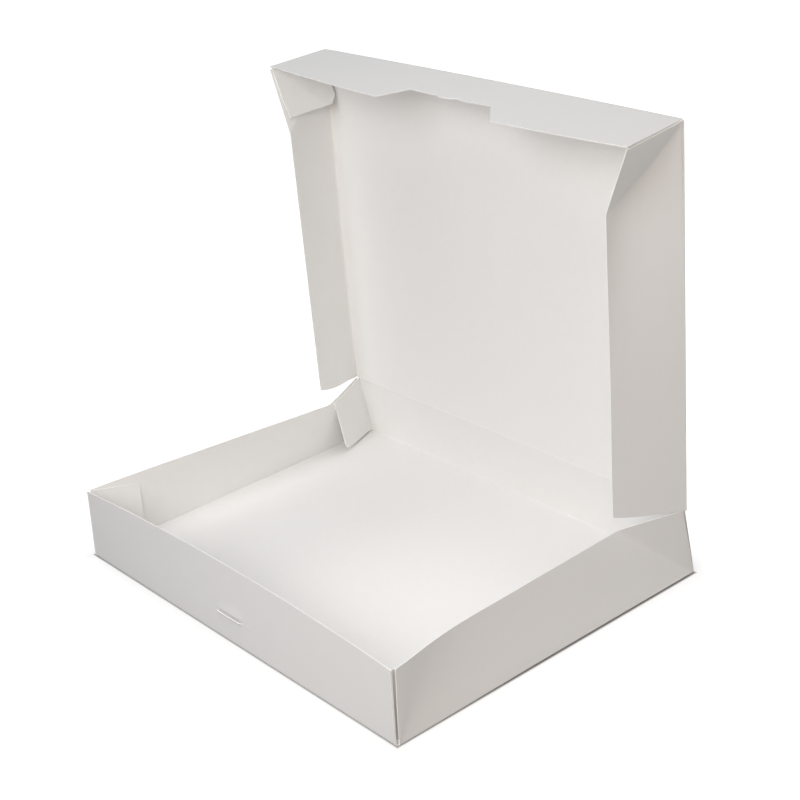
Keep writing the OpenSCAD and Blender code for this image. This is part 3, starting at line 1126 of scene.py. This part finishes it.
# %% A pale floor that keeps the shadow, with painted shade near the box
FLOOR_HALF = 4  # metres
FLOOR_TONE = 0.42
NEAR_GLOW = 0.56  # the glow at the footprint's edge, held low there to paint shade near the box; it grows to 1
GLOW_RUN, SHADOW_LINE = 0.06, 0.0014  # metres over which the painted shade near the box fades out, and the width of the painted dark line at the footprint's edge


def seen_directly(tree):
    """1 for what the camera sees, also in a reflection or through glass, and 0 for light."""
    path = tree.nodes.new("ShaderNodeLightPath")
    first, second = add_math(tree, "MAXIMUM"), add_math(tree, "MAXIMUM")
    link_all(tree, (
        (path, "Is Camera Ray", first, 0),
        (path, "Is Glossy Ray", first, 1),
        (first, "Value", second, 0),
        (path, "Is Transmission Ray", second, 1),
    ))
    return second


def outside_footprint(tree):
    """Distance in metres from the edge of the tray's footprint, below 0 inside it."""
    place = tree.nodes.new("ShaderNodeTexCoord")
    axes = tree.nodes.new("ShaderNodeSeparateXYZ")
    farthest = add_math(tree, "MAXIMUM")
    links = [(place, "Object", axes, 0)]
    for i, half in enumerate((HALF_W, HALF_D)):
        size = add_math(tree, "ABSOLUTE")
        past = add_math(tree, "SUBTRACT", half * MM)
        links += [(axes, i, size, 0), (size, "Value", past, 0), (past, "Value", farthest, i)]
    link_all(tree, links)
    return farthest


def pale_floor():
    mesh = bpy.data.meshes.new("floor")
    corners = [(x * FLOOR_HALF, y * FLOOR_HALF, 0) for x, y in ((-1, -1), (1, -1), (1, 1), (-1, 1))]
    mesh.from_pydata(corners, [], [(0, 1, 2, 3)])
    floor = add_object("floor", mesh)
    material = bpy.data.materials.new("pale_floor")
    material.use_nodes = True
    tree = material.node_tree
    tree.nodes.remove(tree.nodes["Principled BSDF"])
    matt = add_node(tree, "ShaderNodeBsdfDiffuse", Color=(FLOOR_TONE, FLOOR_TONE, FLOOR_TONE, 1))
    glow = add_node(tree, "ShaderNodeEmission", Color=(1, 1, 1, 1))
    distance, seen = outside_footprint(tree), seen_directly(tree)
    # Painted shade: no glow at the footprint's edge, a painted dark line under the walls, and less
    # glow near the box, a painted grey band.
    clear = add_range(tree, 0.0, SHADOW_LINE, 0.0, 1.0)
    level = add_range(tree, 0.0, GLOW_RUN, NEAR_GLOW, 1.0)
    glow_with_painted_shade, shown = add_math(tree, "MULTIPLY"), add_math(tree, "MULTIPLY")
    both = tree.nodes.new("ShaderNodeAddShader")
    link_all(tree, (
        (distance, "Value", clear, "Value"),
        (distance, "Value", level, "Value"),
        (clear, "Result", glow_with_painted_shade, 0),
        (level, "Result", glow_with_painted_shade, 1),
        (glow_with_painted_shade, "Value", shown, 0),
        (seen, "Value", shown, 1),
        (shown, "Value", glow, "Strength"),
        (matt, "BSDF", both, 0),
        (glow, "Emission", both, 1),
        (both, "Shader", tree.nodes["Material Output"], "Surface"),
    ))
    mesh.materials.append(material)
    return floor


floor = pale_floor()
print("floor ready")

# %% [markdown]
# ## Soft studio light
# A white box shows its form only through light that differs from side to side. A large lamp above
# lights the bottom and the top of the lid, a cool one in front reaches into the lid, two warm ones
# at the near corner and on the right give the right wall its greys, and low ones behind and beside
# the box keep the sides that the photograph doesn't show from going dark. The world fills the rest.

# %% World and lamps
WORLD_LIGHT = 0.07
# Name, place, target and width in metres, power in watts, and colour.
LAMPS = [
    ("above", (0.03, 0.0, 1.7), (0, 0, 0.12), 1.4, 9.0, (1.0, 1.0, 1.0)),
    ("front", (0.22, -1.24, 1.08), (0, 0, 0.12), 1.2, 10.9, (0.88, 0.94, 1.0)),
    ("near_side", (0.61, -0.73, 0.65), (0, 0, 0.12), 0.7, 4.6, (1.0, 0.86, 0.74)),
    ("right", (1.3, 0.8, 0.55), (0, 0, 0.12), 1.0, 4.9, (1.0, 0.95, 0.90)),
    ("low_rear", (0.1, 1.6, 0.35), (0, 0.15, 0.15), 0.7, 12.0, (1.0, 1.0, 1.0)),
    ("low_left", (-1.6, 0.1, 0.35), (-0.2, 0, 0.1), 0.7, 14.0, (1.0, 1.0, 1.0)),
]


def light_world():
    world = bpy.data.worlds.new("studio")
    bpy.context.scene.world = world
    world.use_nodes = True
    tree = world.node_tree
    level = add_range(tree, 0.0, 1.0, WORLD_LIGHT, 1.0)
    background = tree.nodes["Background"]
    background.inputs["Color"].default_value = (1, 1, 1, 1)
    link_all(tree, ((seen_directly(tree), "Value", level, "Value"),
                    (level, "Result", background, "Strength")))


def add_lamp(name, place, target, size, power, color):
    data = bpy.data.lights.new(name, "AREA")
    data.shape = "DISK"
    data.size = size
    data.energy = power
    data.color = color
    lamp = add_object(name, data)
    lamp.location = place
    lamp.rotation_euler = (Vector(target) - Vector(place)).to_track_quat("-Z", "Y").to_euler()
    return lamp


light_world()
for lamp in LAMPS:
    add_lamp(*lamp)
bpy.context.scene.view_settings.view_transform = "Standard"
print("lamps", [name for name, *_ in LAMPS])
